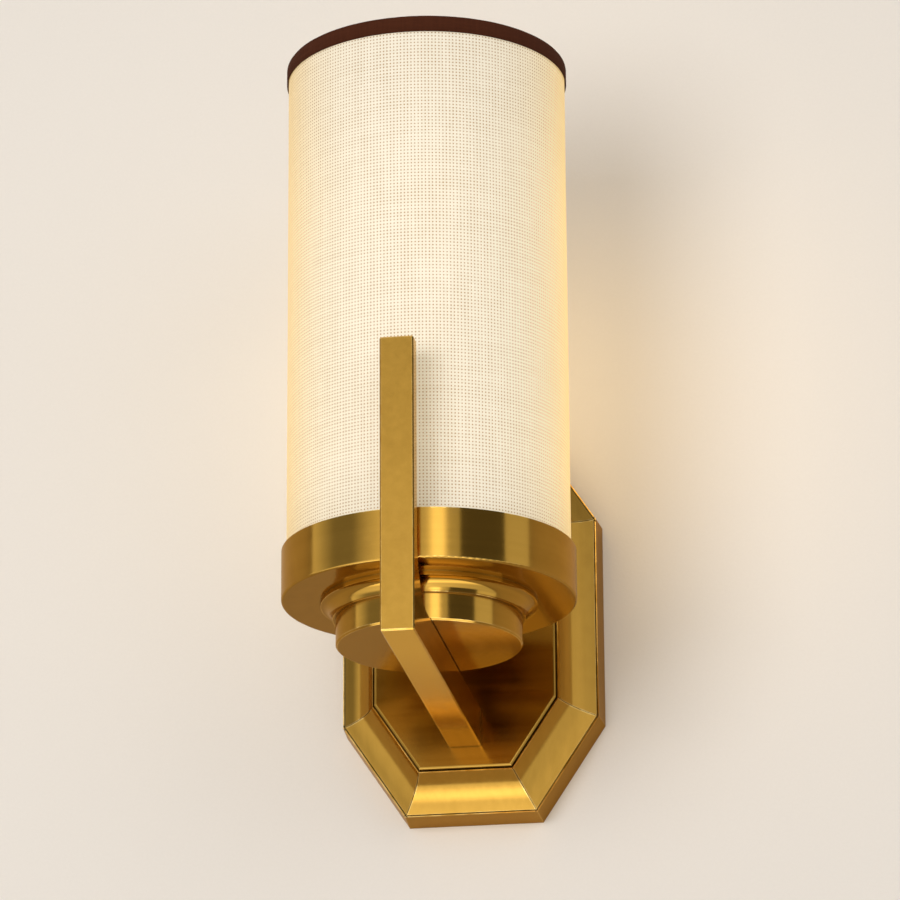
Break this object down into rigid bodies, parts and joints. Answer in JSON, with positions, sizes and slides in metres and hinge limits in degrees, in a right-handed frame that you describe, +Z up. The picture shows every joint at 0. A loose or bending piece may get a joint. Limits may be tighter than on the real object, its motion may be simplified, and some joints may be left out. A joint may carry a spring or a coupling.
{
  "type": "wall light",
  "caption": "Wall light with a tall linen drum shade standing in a turned brass cup, on an L-shaped bar arm from a coved octagonal back plate.",
  "frame": {"origin": "centre of the back plate on the wall plane, midway between the two screws of the wall box", "axes": "+Y into the wall, +Z up, +X to the right seen from the room"},
  "size_m": [0.1316, 0.2244, 0.3234],
  "materials": {
    "aged_brass": "brushed and aged, lacquered",
    "bright_steel": "zinc plated",
    "green_steel": "green passivated",
    "bare_copper": "bare drawn copper",
    "black_insulation": "satin",
    "white_insulation": "satin",
    "black_phenolic": "moulded",
    "nickel_brass": "nickel plated",
    "lamp_cap_metal": "rolled",
    "black_glass": "glazed",
    "clear_glass": "clear",
    "glowing_rod": "phosphor coated",
    "white_enamel": "white enamel",
    "shade_liner": "translucent sheet",
    "linen": "open plain weave",
    "brown_trim": "folded ribbon"
  },
  "bodies": {
    "fixture": {"back_plate": "aged_brass", "centre_panel": "aged_brass", "arm": "aged_brass", "lower_disc": "aged_brass", "flared_ring": "aged_brass", "cup": "aged_brass", "cap_nuts": "aged_brass", "crossbar": "bright_steel", "plate_studs": "bright_steel", "stud_nuts": "bright_steel", "stiffener": "bright_steel", "arm_nipple": "bright_steel", "arm_washer": "bright_steel", "arm_nut": "bright_steel", "dowel_pin": "bright_steel", "stem_nipple": "bright_steel", "cup_washer": "bright_steel", "cup_nut": "bright_steel", "terminal_screws": "bright_steel", "ground_screws": "green_steel", "ground_lead": "bare_copper", "lead_live": "black_insulation", "lead_neutral": "white_insulation", "holder_cap": "black_phenolic", "holder_body": "black_phenolic", "screw_shell": "nickel_brass", "centre_contact": "nickel_brass"},
    "lamp": {"lamp_tip": "nickel_brass", "lamp_insulator": "black_glass", "lamp_cap": "lamp_cap_metal", "lamp_glass": "clear_glass", "lamp_stem": "clear_glass", "lamp_rods": "glowing_rod"},
    "shade": {"shade_carrier": "white_enamel", "foot_ring": "white_enamel", "top_ring": "white_enamel", "shade_liner": "shade_liner", "linen_shade": "linen", "top_trim": "brown_trim"},
    "clamp_ring": {"clamp_ring": "black_phenolic"}
  },
  "joints": [
    {"name": "shade_lift", "type": "slide", "parent": "fixture", "child": "shade", "axis": [0, 0, 1], "range_m": [0, 0.18]},
    {"name": "lamp_out", "type": "slide", "parent": "fixture", "child": "lamp", "axis": [0, 0, 1], "range_m": [0, 0.03]},
    {"name": "clamp_turn", "type": "hinge", "parent": "shade", "child": "clamp_ring", "pos_m": [0, -0.1375, 0.0047], "axis": [0, 0, 1], "range_deg": [0, 720]}
  ]
}
